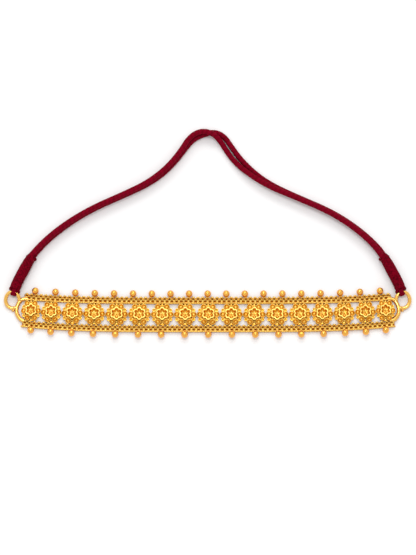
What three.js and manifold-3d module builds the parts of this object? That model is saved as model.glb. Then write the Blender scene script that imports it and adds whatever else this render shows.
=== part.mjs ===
// Gold choker necklace on a doubled silk cord, lying face up on the plane z = 0.
// Millimetres, +Z up, +X along the band, +Y from the band towards the cord.
import * as THREE from 'three';
import { mergeVertices } from 'three/addons/utils/BufferGeometryUtils.js';
import Module from 'manifold-3d';

const wasm = await Module();
wasm.setup();

// ---- driving dimensions ----
const GAP = 0.3; // clearance left between separate pieces
const BAND = {
  middleY: -0.9, // where the line midway between the rails crosses the Y axis
  rise: 2.4, // how far the ends of that line bend towards the cord
  span: 106.2, // half length over which it rises
  power: 4, // the middle stays straight and only the ends bend
  taper: 0.03, // share by which the rails close up at the ends
};
const RAIL = { height: 2.4, chamfer: 0.7, steps: 24 };
const TOP_RAIL = { side: 1, offset: 8.95, width: 4.5, halfLength: 110.4, shift: 0 };
const BOTTOM_RAIL = { side: -1, offset: 8.45, width: 4.35, halfLength: 112.2, shift: 0.35 };
const BEAD = {
  radius: 1.95,
  offset: 12.6,
  height: 2.8,
  neckRadius: 0.6,
  rootOffset: 9.8,
  sides: 10,
  latitudes: [-66, -22, 22, 60], // degrees, where the ball's facets meet
};
const TOP_BEADS = { perSide: 9, pitch: 11.1, stretch: 0.033 };
const BOTTOM_BEADS = { perSide: 8, pitch: 14.1, stretch: -0.06 };
const FLOWERS = { perSide: 8, pitch: 13.77, squeeze: 0.037, shrink: 0.13, power: 3, shift: 0.35 };
const ROSETTE = {
  petals: 6,
  plateRadius: 4.5,
  plateHeight: 1.1,
  cupOrbit: 4.85, // distance of each outer petal from the middle
  cupRadius: 1.7,
  cupHeight: 2.2,
  cupDish: 0.7,
  cupSides: 7,
  heartBase: 1.0, // height at which the raised inner flower starts
  heartTop: 4.7,
  heartTip: 3.55, // radius of the inner flower at a petal's tip
  heartNotch: 2.65, // and between two petals
  heartDish: 1.5,
  granule: 0.55,
  stemRadius: 0.55,
  stemHeight: 0.7,
  stemSides: 4,
};
const WIRE_SIDES = 6;
const BOW = { wire: 1.15, height: 1.2, steps: 13 };
const RING = {
  centreX: 116.85,
  centreY: 8.0,
  radiusX: 4.05,
  radiusY: 4.85,
  wire: 1.0,
  from: -105, // degrees, where the open ring leaves the solder lump
  to: 185, // and where it comes back to the bow
  lowZ: 1.35, // height at its lower joint
  highZ: 3.0, // and where the cord holds it
  steps: 15,
  lump: 1.15,
};
const WRAP = { halfWidth: 3.3, halfHeight: 3.5, centreZ: 3.58, sides: 10, steps: 6, flare: 0.4 };
const BIGHT = { thickness: 1.1, width: 3.4, orbit: 1.85, sides: 8, wireAhead: 1.45 };
const CORD = { diameter: 3.4, sides: 8, steps: 46, lowest: 1.73 };

// Bow: X, distance above the middle line Y, both on the right-hand end.
const BOW_ROUTE = [
  [112.0, 6.1],
  [112.9, 4.7],
  [113.7, 3.0],
  [114.2, 1.1],
  [114.35, -0.9],
  [114.15, -2.5],
  [113.5, -3.7],
  [112.9, -4.4],
];
// Thread wrap: X, Y of its axis on the right-hand end, from the ring up to the cord.
const WRAP_ROUTE = [
  [115.4, 14.2],
  [114.7, 16.5],
  [112.95, 20.6],
  [110.3, 25.8],
  [107.65, 30.95],
  [105.2, 35.05],
];
// Pair of cord strands, from the left wrap to the right one: X, Y midway between the
// strands, the angle by which strand A stands round strand B (0 beside it on the outer
// side, 90 on top of it, 180 beside it on the inner side, -90 under it), and their distance.
const PAIR_ROUTE = [
  [-104.9, 35.55, 80, 3.7],
  [-102.5, 38.4, 81, 3.7],
  [-99.1, 42.2, 83, 3.7],
  [-94.5, 46.7, 85, 3.7],
  [-88.4, 51.8, 86, 3.7],
  [-81.3, 57.0, 89, 3.7],
  [-73.5, 61.9, 91, 3.7],
  [-64.5, 66.7, 92, 3.7],
  [-55.5, 70.9, 92, 3.7],
  [-46.5, 75.1, 91, 3.7],
  [-38.0, 79.5, 88, 3.7],
  [-30.9, 84.2, 83, 3.75],
  [-24.7, 89.6, 81, 3.75],
  [-19.4, 95.5, 79, 3.75],
  [-15.1, 101.3, 76, 3.75],
  [-11.5, 106.45, 68, 3.8],
  [-7.9, 109.85, 62, 3.8],
  [-4.3, 111.6, 67, 3.8],
  [-0.9, 112.15, 85, 3.8],
  [1.8, 112.15, 108, 3.8],
  [4.1, 111.7, 127, 3.8],
  [6.5, 110.5, 147, 3.8],
  [9.2, 108.1, 166, 3.8],
  [12.4, 103.4, 180, 3.85],
  [16.2, 97.8, 178, 3.85],
  [21.0, 92.15, 164, 3.75],
  [26.8, 86.8, 144, 3.75],
  [33.2, 82.0, 132, 3.7],
  [40.4, 77.8, 124, 3.7],
  [49.3, 73.6, 116, 3.7],
  [58.4, 69.5, 114, 3.7],
  [67.5, 65.4, 114, 3.7],
  [76.5, 60.7, 114, 3.7],
  [84.8, 55.3, 115, 3.7],
  [92.1, 49.6, 116, 3.7],
  [98.2, 43.9, 118, 3.7],
  [102.6, 38.9, 120, 3.7],
  [104.9, 35.55, 121, 3.7],
];

const GOLD = { color: 0xe3a234, roughness: 0.32, metalness: 1.0 };
const SILK = { color: 0x7a0a20, roughness: 0.75, metalness: 0.0 };

// ---- solids ----

// A closed geometry as a manifold solid.
function solid(geometry) {
  const bare = geometry.index ? geometry.toNonIndexed() : geometry.clone();
  bare.deleteAttribute('normal');
  bare.deleteAttribute('uv');
  const merged = mergeVertices(bare, 1e-4);
  const vertProperties = new Float32Array(merged.attributes.position.array);
  const triVerts = new Uint32Array(merged.index.array);
  return new wasm.Manifold(new wasm.Mesh({ numProp: 3, vertProperties, triVerts }));
}

function fuse(solids) {
  return solids.reduce((whole, next) => whole.add(next));
}

function geometryOf(manifold) {
  const mesh = manifold.getMesh();
  const geometry = new THREE.BufferGeometry();
  geometry.setAttribute('position', new THREE.BufferAttribute(mesh.vertProperties.slice(), 3));
  geometry.setIndex(new THREE.BufferAttribute(mesh.triVerts.slice(), 1));
  return geometry;
}

function piece(name, geometry, finish) {
  const faceted = geometry.index ? geometry.toNonIndexed() : geometry;
  faceted.computeVertexNormals();
  const mesh = new THREE.Mesh(faceted, new THREE.MeshStandardMaterial(finish));
  mesh.name = name;
  return mesh;
}

// A shape with the given half sizes; on a level path the first lies upright.
function ovalSection(halfUp, halfAcross, sides) {
  const corners = Array.from({ length: sides }, (_, i) => {
    const angle = ((i + 0.5) * 2 * Math.PI) / sides;
    return new THREE.Vector2(halfUp * Math.cos(angle), halfAcross * Math.sin(angle));
  });
  return new THREE.Shape(corners);
}

function tube(path, section, steps) {
  return new THREE.ExtrudeGeometry(section, { steps, extrudePath: path, bevelEnabled: false });
}

function smoothPath(points) {
  return new THREE.CatmullRomCurve3(points.map((p) => new THREE.Vector3(...p)));
}

// ---- band ----

// Y of the line midway between the rails.
function middleLine(x) {
  return BAND.middleY + BAND.rise * (Math.abs(x) / BAND.span) ** BAND.power;
}

// Y at a distance across the band, which narrows slightly towards its ends.
function acrossBand(x, across) {
  const narrowing = 1 - BAND.taper * (Math.abs(x) / BAND.span) ** BAND.power;
  return middleLine(x) + across * narrowing;
}

class RailLine extends THREE.Curve {
  constructor(rail) {
    super();
    this.rail = rail;
  }

  getPoint(t, target = new THREE.Vector3()) {
    const { side, offset, halfLength, shift } = this.rail;
    const x = halfLength * (2 * t - 1) + shift;
    return target.set(x, acrossBand(x, side * offset), 0);
  }
}

// Flat underneath, with its two upper edges chamfered; the section's first axis points down.
function railBar(rail) {
  const half = rail.width / 2;
  const shoulder = RAIL.height - RAIL.chamfer;
  const section = new THREE.Shape([
    new THREE.Vector2(0, -half),
    new THREE.Vector2(0, half),
    new THREE.Vector2(-shoulder, half),
    new THREE.Vector2(-RAIL.height, half - RAIL.chamfer),
    new THREE.Vector2(-RAIL.height, RAIL.chamfer - half),
    new THREE.Vector2(-shoulder, -half),
  ]);
  return solid(tube(new RailLine(rail), section, RAIL.steps));
}

function rodBetween(from, to, radius, sides) {
  const start = new THREE.Vector3(...from);
  const along = new THREE.Vector3(...to).sub(start);
  const rod = new THREE.CylinderGeometry(radius, radius, along.length(), sides);
  const up = new THREE.Vector3(0, 1, 0);
  rod.applyQuaternion(new THREE.Quaternion().setFromUnitVectors(up, along.clone().normalize()));
  const middle = start.addScaledVector(along, 0.5);
  return solid(rod.translate(middle.x, middle.y, middle.z));
}

// Round bead on a short neck, turned in one piece and soldered to the outer edge of its rail.
function beadOnRail(x, side) {
  const { radius, neckRadius, sides } = BEAD;
  const bead = new THREE.Vector3(x, acrossBand(x, side * BEAD.offset), BEAD.height);
  const root = new THREE.Vector3(x, acrossBand(x, side * BEAD.rootOffset), RAIL.height / 2);
  const along = bead.clone().sub(root);
  const ball = BEAD.latitudes.map((degrees) => {
    const angle = THREE.MathUtils.degToRad(degrees);
    return [radius * Math.cos(angle), along.length() + radius * Math.sin(angle)];
  });
  const profile = [[0, 0], [neckRadius, 0], ...ball, [0, along.length() + radius]];
  const turned = new THREE.LatheGeometry(profile.map(([r, h]) => new THREE.Vector2(r, h)), sides);
  const up = new THREE.Vector3(0, 1, 0);
  turned.applyQuaternion(new THREE.Quaternion().setFromUnitVectors(up, along.normalize()));
  return solid(turned.translate(root.x, root.y, root.z));
}

function evenPlaces(row) {
  return Array.from({ length: 2 * row.perSide + 1 }, (_, k) => {
    const i = k - row.perSide;
    return i * row.pitch * (1 + row.stretch * (i / row.perSide) ** 2);
  });
}

function beadedRail(rail, row) {
  const beads = evenPlaces(row).map((x) => beadOnRail(x + rail.shift, rail.side));
  return fuse([railBar(rail), ...beads]);
}

// ---- rosettes ----

// Outer petal: a round cup with a raised rim and a dished top.
function outerPetal() {
  const { cupRadius, cupHeight, cupDish } = ROSETTE;
  const profile = [
    [0, 0],
    [cupRadius, 0],
    [cupRadius * 0.85, cupHeight],
    [0, cupHeight - cupDish],
  ].map(([r, z]) => new THREE.Vector2(r, z));
  return new THREE.LatheGeometry(profile, ROSETTE.cupSides).rotateX(Math.PI / 2);
}

// Outline of the inner flower, with a petal tip every 60 degrees, one of them along +Y.
function heartOutline() {
  const { petals, heartTip, heartNotch } = ROSETTE;
  const sides = 4 * petals;
  const swing = (heartTip - heartNotch) / 2;
  const corners = Array.from({ length: sides }, (_, i) => {
    const angle = (i * 2 * Math.PI) / sides;
    const radius = heartNotch + swing - swing * Math.cos(petals * angle);
    return new THREE.Vector2(radius * Math.cos(angle), radius * Math.sin(angle));
  });
  return new THREE.Shape(corners);
}

// Inner flower: raised petals round a hollow heart with one granule in it.
function heart() {
  const { heartBase, heartTop, heartDish, heartNotch, granule } = ROSETTE;
  const depth = heartTop - heartBase;
  const body = new THREE.ExtrudeGeometry(heartOutline(), { depth, bevelEnabled: false });
  body.translate(0, 0, heartBase);
  const bowl = new THREE.ConeGeometry(heartNotch * 1.1, 2 * heartDish, ROSETTE.petals);
  bowl.rotateX(-Math.PI / 2).translate(0, 0, heartTop);
  const seed = new THREE.OctahedronGeometry(granule, 0);
  seed.translate(0, 0, heartTop - heartDish + granule / 3);
  return solid(body).subtract(solid(bowl)).add(solid(seed));
}

function rosette() {
  const { petals, plateRadius, plateHeight, cupOrbit } = ROSETTE;
  const plate = new THREE.CylinderGeometry(plateRadius, plateRadius, plateHeight, 2 * petals);
  plate.rotateX(Math.PI / 2).translate(0, 0, plateHeight / 2);
  const cups = Array.from({ length: petals }, (_, i) => {
    const angle = (i * 2 * Math.PI) / petals;
    const cup = outerPetal().rotateZ(angle);
    cup.translate(cupOrbit * Math.cos(angle), cupOrbit * Math.sin(angle), 0);
    return solid(cup);
  });
  return fuse([solid(plate), ...cups, heart()]);
}

// Stem that reaches from the rosette almost to a rail.
function stem(x, rail) {
  const { side } = rail;
  const middle = middleLine(x);
  const edge = acrossBand(x, side * (rail.offset - rail.width / 2)) - side * GAP;
  const root = middle + side * ROSETTE.plateRadius * 0.8;
  const z = ROSETTE.stemHeight;
  return rodBetween([x, root, z], [x, edge, z], ROSETTE.stemRadius, ROSETTE.stemSides);
}

function flower(index, bloom) {
  const share = Math.abs(index) / FLOWERS.perSide;
  const squeezed = FLOWERS.pitch * (1 - FLOWERS.squeeze * share ** FLOWERS.power);
  const x = index * squeezed + FLOWERS.shift;
  const size = 1 - FLOWERS.shrink * share ** FLOWERS.power;
  const placed = bloom.scale([size, size, 1]).translate([x, middleLine(x), 0]);
  return fuse([placed, stem(x, TOP_RAIL), stem(x, BOTTOM_RAIL)]);
}

// ---- end fittings: each is written for the right-hand end and mirrored for the left ----

function ringPoint(degrees) {
  const angle = THREE.MathUtils.degToRad(degrees);
  const x = RING.centreX + RING.radiusX * Math.cos(angle);
  const y = RING.centreY + RING.radiusY * Math.sin(angle);
  const climb = (RING.highZ - RING.lowZ) * (0.5 + 0.5 * Math.sin(angle));
  return [x, y, RING.lowZ + climb];
}

// D-shaped bow that closes the band, with an open ring soldered on its outer shoulder.
function endBow() {
  const bowPath = smoothPath(BOW_ROUTE.map(([x, across]) => [x, acrossBand(x, across), BOW.height]));
  const bow = tube(bowPath, ovalSection(BOW.wire, BOW.wire, WIRE_SIDES), BOW.steps);
  const sweep = RING.to - RING.from;
  const ringPoints = Array.from({ length: 13 }, (_, i) => ringPoint(RING.from + (i * sweep) / 12));
  const ring = tube(smoothPath(ringPoints), ovalSection(RING.wire, RING.wire, WIRE_SIDES), RING.steps);
  const lump = new THREE.SphereGeometry(RING.lump, 8, 4);
  const [lumpX, lumpY] = ringPoint(RING.from);
  lump.translate(lumpX - RING.lump / 2, lumpY, RING.lump);
  return fuse([solid(bow), solid(ring), solid(lump)]);
}

// Sleeve of wound thread that binds the two strands, thicker at its last turns.
function threadWrap() {
  const { halfWidth, halfHeight, centreZ, sides, steps, flare } = WRAP;
  const path = smoothPath(WRAP_ROUTE.map(([x, y]) => [x, y, centreZ]));
  const sleeve = tube(path, ovalSection(halfHeight, halfWidth, sides), steps);
  const foot = smoothPath([0, 0.04, 0.08].map((t) => path.getPointAt(t).toArray()));
  const collar = tube(foot, ovalSection(halfHeight, halfWidth + flare, sides), 1);
  return fuse([solid(sleeve), solid(collar)]);
}

// Bight of flattened cord that comes out of the wrap, goes round the ring and back in.
function cordBight() {
  const [start, next] = WRAP_ROUTE.map(([x, y]) => new THREE.Vector3(x, y, 0));
  const ahead = start.clone().sub(next).normalize();
  const place = (s, z) => [start.x + s * ahead.x, start.y + s * ahead.y, z];
  const { orbit, wireAhead, thickness, width, sides } = BIGHT;
  const arc = [-90, -60, -30, 0, 30, 60, 90].map((degrees) => {
    const angle = THREE.MathUtils.degToRad(degrees);
    return place(wireAhead + orbit * Math.cos(angle), RING.highZ - orbit * Math.sin(angle));
  });
  const route = [place(GAP, RING.highZ + orbit), ...arc, place(GAP, RING.highZ - orbit)];
  return solid(tube(smoothPath(route), ovalSection(thickness / 2, width / 2, sides), 10));
}

function mirrored(manifold) {
  return manifold.mirror([1, 0, 0]);
}

// ---- cord ----

// Points of strand A (side 1) or strand B (side -1); the lower of the two rests on z = 0.
function strandPoints(side) {
  const middle = smoothPath(PAIR_ROUTE.map(([x, y]) => [x, y, 0]));
  return PAIR_ROUTE.map(([x, y, roll, apart], i) => {
    const tangent = middle.getTangent(i / (PAIR_ROUTE.length - 1));
    const angle = THREE.MathUtils.degToRad(roll);
    const out = (side * apart * Math.cos(angle)) / 2;
    const up = (side * apart * Math.sin(angle)) / 2;
    const z = CORD.lowest + (apart * Math.abs(Math.sin(angle))) / 2 + up;
    return [x - out * tangent.y, y + out * tangent.x, z];
  });
}

function strand(side) {
  const radius = CORD.diameter / 2;
  return tube(smoothPath(strandPoints(side)), ovalSection(radius, radius, CORD.sides), CORD.steps);
}

// ---- assembly ----

const necklace = new THREE.Group();

function addGold(name, manifold) {
  necklace.add(piece(name, geometryOf(manifold), GOLD));
}

function addSilk(name, geometry) {
  necklace.add(piece(name, geometry, SILK));
}

addGold('top_rail', beadedRail(TOP_RAIL, TOP_BEADS));
addGold('bottom_rail', beadedRail(BOTTOM_RAIL, BOTTOM_BEADS));

const bloom = rosette();
for (let i = -FLOWERS.perSide; i <= FLOWERS.perSide; i += 1) {
  const number = String(i + FLOWERS.perSide + 1).padStart(2, '0');
  addGold(`flower_${number}`, flower(i, bloom));
}

const fittings = [
  ['end_bow', endBow(), addGold],
  ['thread_wrap', threadWrap(), (name, solidOf) => addSilk(name, geometryOf(solidOf))],
  ['cord_bight', cordBight(), (name, solidOf) => addSilk(name, geometryOf(solidOf))],
];
for (const [name, right, add] of fittings) {
  add(`right_${name}`, right);
  add(`left_${name}`, mirrored(right));
}

addSilk('cord_strand_a', strand(1));
addSilk('cord_strand_b', strand(-1));

export default necklace;
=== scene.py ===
"""Gold choker necklace on a doubled silk cord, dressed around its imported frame.

The band is two woven gold rails with seventeen soldered rosettes between them and a row of
gold beads along each outer edge. A D-shaped bow closes each end and carries an open ring. A
doubled maroon silk cord, bound with thread, runs from ring to ring. The scene is in metres,
with +X along the band, +Y from the band towards the cord and +Z up from the table. Classes
that give their sizes in millimetres say so.
"""

import logging
import math
from collections.abc import Callable, Iterator, Sequence
from contextlib import contextmanager
from dataclasses import dataclass
from enum import Enum
from typing import Any

import bmesh
import bpy
from mathutils import Matrix, Vector


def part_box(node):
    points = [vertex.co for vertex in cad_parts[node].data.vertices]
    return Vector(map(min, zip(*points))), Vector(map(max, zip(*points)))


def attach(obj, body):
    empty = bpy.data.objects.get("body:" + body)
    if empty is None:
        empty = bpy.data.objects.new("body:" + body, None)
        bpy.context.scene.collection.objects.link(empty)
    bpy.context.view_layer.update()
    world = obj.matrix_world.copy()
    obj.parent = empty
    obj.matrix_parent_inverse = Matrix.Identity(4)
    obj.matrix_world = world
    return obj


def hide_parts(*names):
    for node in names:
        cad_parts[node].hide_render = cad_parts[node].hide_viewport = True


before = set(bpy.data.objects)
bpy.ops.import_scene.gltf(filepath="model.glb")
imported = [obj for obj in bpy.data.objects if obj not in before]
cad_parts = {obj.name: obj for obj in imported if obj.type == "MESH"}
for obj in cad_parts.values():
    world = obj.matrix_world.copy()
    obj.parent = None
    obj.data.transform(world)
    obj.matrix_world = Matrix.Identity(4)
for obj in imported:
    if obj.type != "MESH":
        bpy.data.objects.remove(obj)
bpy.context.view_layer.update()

LOG = logging.getLogger("choker")
MM = 0.001
FULL_TURN = 2 * math.pi
MERGE_DISTANCE = 0.002 * MM
ALONG_X = Matrix.Rotation(math.pi / 2, 4, "Y")  # lays a turned piece down along X

Point = tuple[float, float, float]
Profile = Sequence[tuple[float, float]]


class Slot(Enum):
    """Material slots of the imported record."""

    GOLD = "gold"
    CORD = "silk_cord"
    THREAD = "wrap_thread"


class End(Enum):
    """The two ends of the band, each with the sign of its X."""

    RIGHT = 1
    LEFT = -1

    @property
    def label(self) -> str:
        """The end's name as the nodes spell it."""
        return self.name.lower()


class Rail(Enum):
    """The two rails, each with the sign of its side of the band."""

    TOP = 1
    BOTTOM = -1

    @property
    def label(self) -> str:
        """The rail's name as the nodes spell it."""
        return f"{self.name.lower()}_rail"


# ---- colour and nodes ----


def linear(hex_colour: str) -> tuple[float, float, float, float]:
    """Turns an sRGB hex colour into linear RGBA.

    Args:
        hex_colour: six hex digits after a hash sign.

    Returns:
        Red, green, blue and an alpha of 1.
    """
    channels = [int(hex_colour[i : i + 2], 16) / 255 for i in (1, 3, 5)]
    red, green, blue = (
        c / 12.92 if c <= 0.04045 else ((c + 0.055) / 1.055) ** 2.4 for c in channels
    )
    return red, green, blue, 1.0


def add_node(
    tree: bpy.types.NodeTree,
    kind: str,
    settings: dict[str, Any] | None = None,
    **inputs: Any,
) -> bpy.types.Node:
    """Adds a node with its settings, and fills or links its inputs.

    Args:
        tree: the node tree that gets the node.
        kind: the node's type name.
        settings: properties of the node itself.
        inputs: one value or output socket for each input; an underscore in a name stands
            for a space, and a name such as _1 is the input at that index.

    Returns:
        The new node.
    """
    node = tree.nodes.new(kind)
    for name, value in (settings or {}).items():
        setattr(node, name, value)
    for name, value in inputs.items():
        key = int(name[1:]) if name.startswith("_") else name.replace("_", " ")
        if isinstance(value, bpy.types.NodeSocket):
            tree.links.new(value, node.inputs[key])
        else:
            node.inputs[key].default_value = value
    return node


def blank_material(name: str) -> tuple[bpy.types.Material, bpy.types.NodeTree]:
    """Makes an empty node material.

    Args:
        name: the finish's own name.

    Returns:
        The material and its empty node tree.
    """
    material = bpy.data.materials.new(name)
    material.use_nodes = True
    material.node_tree.nodes.clear()
    return material, material.node_tree


# ---- finishes ----

SHADE_RELIEF = "relief"  # vertex attribute: 0 down in a gap, 1 on a crest; sets how much painted shade a point gets
SURFACE_MAP = "surface"  # UV map: turns round the piece, metres along it


@dataclass(frozen=True, kw_only=True)
class Finish:
    """What the finishes share: a colour painted darker down in the gaps of a piece, as shade."""

    name: str
    slot: Slot
    crest: str  # colour where the piece stands out
    hollow: str  # darker colour painted down in its gaps, as shade
    roughness: float
    patch_mm: float  # spacing of the slow changes in tone
    patch_strength: float
    crisp_degrees: float  # edges sharper than this stay crisp

    def tone(
        self, tree: bpy.types.NodeTree, place: bpy.types.NodeSocket, low: float, high: float
    ) -> bpy.types.NodeSocket:
        """Mixes the two colours by the piece's relief, which paints shade into its gaps, and by
        slow patches of random tone.

        Args:
            tree: the material's node tree.
            place: the Object coordinates.
            low: sum of relief and patches up to which the hollow's colour is pure.
            high: sum from which the crest's colour is pure.

        Returns:
            The socket of the mixed colour.
        """
        relief = add_node(tree, "ShaderNodeAttribute", {"attribute_name": SHADE_RELIEF})
        patches = add_node(
            tree, "ShaderNodeTexNoise", Vector=place, Scale=1 / (self.patch_mm * MM), Detail=2.0
        )
        level = add_node(
            tree,
            "ShaderNodeMath",
            {"operation": "MULTIPLY_ADD"},
            _0=patches.outputs["Fac"],
            _1=self.patch_strength,
            _2=relief.outputs["Fac"],
        )
        share = add_node(
            tree, "ShaderNodeMapRange", Value=level.outputs[0], From_Min=low, From_Max=high
        )
        mixed = add_node(
            tree,
            "ShaderNodeMix",
            {"data_type": "RGBA"},
            Factor=share.outputs["Result"],
            _6=linear(self.hollow),
            _7=linear(self.crest),
        )
        return mixed.outputs[2]


@dataclass(frozen=True, kw_only=True)
class GoldFinish(Finish):
    """Gold under a thin clear coat, with a fine grain, and a darker colour painted between its
    parts and on its low parts as shade.
    """

    slot: Slot = Slot.GOLD
    patch_mm: float = 3.0
    patch_strength: float = 0.4
    crisp_degrees: float = 50.0
    roughness_spread: float = 0.06
    grain_mm: float = 0.35  # spacing of the surface grain
    grain_height_mm: float = 0.012
    grain_range: tuple[float, float] = (0.3, 0.7)  # noise values that span the roughness
    lacquer: float  # weight of the clear coat
    lacquer_roughness: float = 0.06
    shade_heights_mm: tuple[float, float]  # heights up to which painted shade is full and from which height adds none
    tone_range: tuple[float, float] = (0.35, 1.05)

    def material(self) -> bpy.types.Material:
        """Builds the node material, which reads the piece's relief attribute.

        Returns:
            The material, ready to assign.
        """
        material, tree = blank_material(self.name)
        place = add_node(tree, "ShaderNodeTexCoord").outputs["Object"]
        grain = add_node(
            tree, "ShaderNodeTexNoise", Vector=place, Scale=1 / (self.grain_mm * MM), Detail=3.0
        )
        polish = add_node(
            tree,
            "ShaderNodeMapRange",
            Value=grain.outputs["Fac"],
            From_Min=self.grain_range[0],
            From_Max=self.grain_range[1],
            To_Min=self.roughness - self.roughness_spread,
            To_Max=self.roughness + self.roughness_spread,
        )
        ripple = add_node(
            tree,
            "ShaderNodeBump",
            Height=grain.outputs["Fac"],
            Strength=1.0,
            Distance=self.grain_height_mm * MM,
        )
        metal = add_node(
            tree,
            "ShaderNodeBsdfPrincipled",
            Base_Color=self.tone(tree, place, *self.tone_range),
            Metallic=1.0,
            Roughness=polish.outputs["Result"],
            Normal=ripple.outputs["Normal"],
            Coat_Weight=self.lacquer,
            Coat_Roughness=self.lacquer_roughness,
        )
        add_node(tree, "ShaderNodeOutputMaterial", Surface=metal.outputs[0])
        return material


@dataclass(frozen=True, kw_only=True)
class SilkFinish(Finish):
    """Dyed silk: saturated and nearly matt, with painted shade darkening it between its threads.
    """

    roughness: float = 0.7
    crisp_degrees: float = 80.0
    gloss: float
    thread_mm: float  # spacing of the finest threads
    thread_height_mm: float
    threads_seen: float = 3.0  # lengths of thread that are seen in one turn round the piece

    def material(self) -> bpy.types.Material:
        """Builds the node material, which reads the piece's relief attribute and its UV map.

        Returns:
            The material, ready to assign.
        """
        material, tree = blank_material(self.name)
        along = add_node(tree, "ShaderNodeUVMap", {"uv_map": SURFACE_MAP})
        place = add_node(tree, "ShaderNodeTexCoord").outputs["Object"]
        # Fine threads run nearly round the piece, so they are close together along it.
        spread = add_node(
            tree,
            "ShaderNodeMapping",
            Vector=along.outputs["UV"],
            Scale=(self.threads_seen, 1 / (self.thread_mm * MM), 1.0),
        )
        threads = add_node(
            tree, "ShaderNodeTexNoise", Vector=spread.outputs[0], Scale=1.0, Detail=2.0
        )
        bumps = add_node(
            tree,
            "ShaderNodeBump",
            Height=threads.outputs["Fac"],
            Strength=0.8,
            Distance=self.thread_height_mm * MM,
        )
        # The range widens with the patches, so that strong ones don't hide the relief.
        low, high = 0.3 * self.patch_strength + 0.1, 0.6 * self.patch_strength + 0.9
        cloth = add_node(
            tree,
            "ShaderNodeBsdfPrincipled",
            Base_Color=self.tone(tree, place, low, high),
            Roughness=self.roughness,
            Normal=bumps.outputs["Normal"],
            Specular_IOR_Level=self.gloss,
        )
        add_node(tree, "ShaderNodeOutputMaterial", Surface=cloth.outputs[0])
        return material


# Satin gold of the flowers and border wires: pale soft crests, with darker gold painted into the
# hollows and onto the low parts as shade.
SATIN_GOLD = GoldFinish(
    name="satin_gold",
    crest="#FFDC78",
    hollow="#D69420",
    roughness=0.3,
    lacquer=0.05,
    shade_heights_mm=(0.2, 2.5),
)
# Woven wire: painted shade darkens all but the tops of the links, which keep the pale colour.
WOVEN_GOLD = GoldFinish(
    name="woven_gold_wire",
    crest="#FFD974",
    hollow="#D08814",
    roughness=0.3,
    lacquer=0.05,
    shade_heights_mm=(1.2, 2.1),
    crisp_degrees=60.0,
)
# The same gold burnished: round, hard highlights, a deeper orange, and painted shade darkening
# the lower part of each bead.
BURNISHED_GOLD = GoldFinish(
    name="burnished_gold",
    crest="#FFC04C",
    hollow="#DC8208",
    roughness=0.12,
    roughness_spread=0.03,
    grain_mm=0.8,
    grain_height_mm=0.003,
    lacquer=0.9,
    shade_heights_mm=(1.4, 4.4),
)
# Polished gold wire of the bows and rings: paler than the beads, with narrow highlights and
# painted shade on its lower side.
WIRE_GOLD = GoldFinish(
    name="polished_gold_wire",
    crest="#FFD070",
    hollow="#D88E1C",
    roughness=0.18,
    roughness_spread=0.03,
    grain_mm=0.8,
    grain_height_mm=0.004,
    lacquer=0.3,
    shade_heights_mm=(0.2, 2.0),
    crisp_degrees=40.0,
)
# Matt gold of the backing strips, seen only down in the gaps of the rails and painted dark
# orange-brown as the shade there.
GAP_SHADE_GOLD = GoldFinish(
    name="gold_painted_gap_shade",
    crest="#DC8A12",
    hollow="#AC5C06",
    roughness=0.5,
    roughness_spread=0.08,
    grain_mm=0.3,
    grain_height_mm=0.02,
    lacquer=0.0,
    shade_heights_mm=(0.4, 2.0),
)
# Braided silk cord, dyed maroon: nearly matt, with painted shade darkening the hollows between
# its ribs.
BRAIDED_SILK = SilkFinish(
    name="braided_maroon_silk",
    slot=Slot.CORD,
    crest="#860020",
    hollow="#5C000C",
    gloss=0.04,
    thread_mm=0.25,
    thread_height_mm=0.03,
    patch_mm=2.2,
    patch_strength=0.9,
)
# Wound silk thread of the bindings: painted shade, nearly black, between its tight turns makes
# it look darker.
WOUND_THREAD = SilkFinish(
    name="wound_maroon_thread",
    slot=Slot.THREAD,
    crest="#86001C",
    hollow="#1E0002",
    gloss=0.03,
    thread_mm=0.3,
    thread_height_mm=0.04,
    patch_mm=1.2,
    patch_strength=2.2,
)

# ---- bench tools ----


def only(piece: bpy.types.Object) -> None:
    """Makes a piece the only selected object and the active one.

    Args:
        piece: the object to select.
    """
    bpy.ops.object.select_all(action="DESELECT")
    piece.select_set(True)
    bpy.context.view_layer.objects.active = piece


@contextmanager
def editing(piece: bpy.types.Object) -> Iterator[None]:
    """Opens a piece in edit mode with nothing selected, and leaves edit mode at the end.

    Args:
        piece: the mesh object to edit.

    Yields:
        Nothing, while the piece is in edit mode.
    """
    only(piece)
    bpy.ops.object.mode_set(mode="EDIT")
    bpy.ops.mesh.select_all(action="DESELECT")
    yield
    bpy.ops.object.mode_set(mode="OBJECT")


def pick_points(piece: bpy.types.Object, wanted: Callable[[Vector], bool]) -> None:
    """Selects exactly the vertices of an edited piece that a test accepts.

    Args:
        piece: the object in edit mode.
        wanted: says whether the vertex at a place is taken.
    """
    bpy.ops.mesh.select_mode(type="VERT")
    mesh = bmesh.from_edit_mesh(piece.data)
    for vertex in mesh.verts:
        vertex.select = wanted(vertex.co)
    mesh.select_flush_mode()
    bmesh.update_edit_mesh(piece.data)


def pick_faces(piece: bpy.types.Object, wanted: Callable[[Vector, Vector], bool]) -> None:
    """Selects exactly the faces of an edited piece that a test accepts.

    Args:
        piece: the object in edit mode.
        wanted: says whether a face is taken, from its centre and its normal.
    """
    bpy.ops.mesh.select_mode(type="FACE")
    mesh = bmesh.from_edit_mesh(piece.data)
    for face in mesh.faces:
        face.select = wanted(face.calc_center_median(), face.normal)
    mesh.select_flush_mode()
    bmesh.update_edit_mesh(piece.data)


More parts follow.
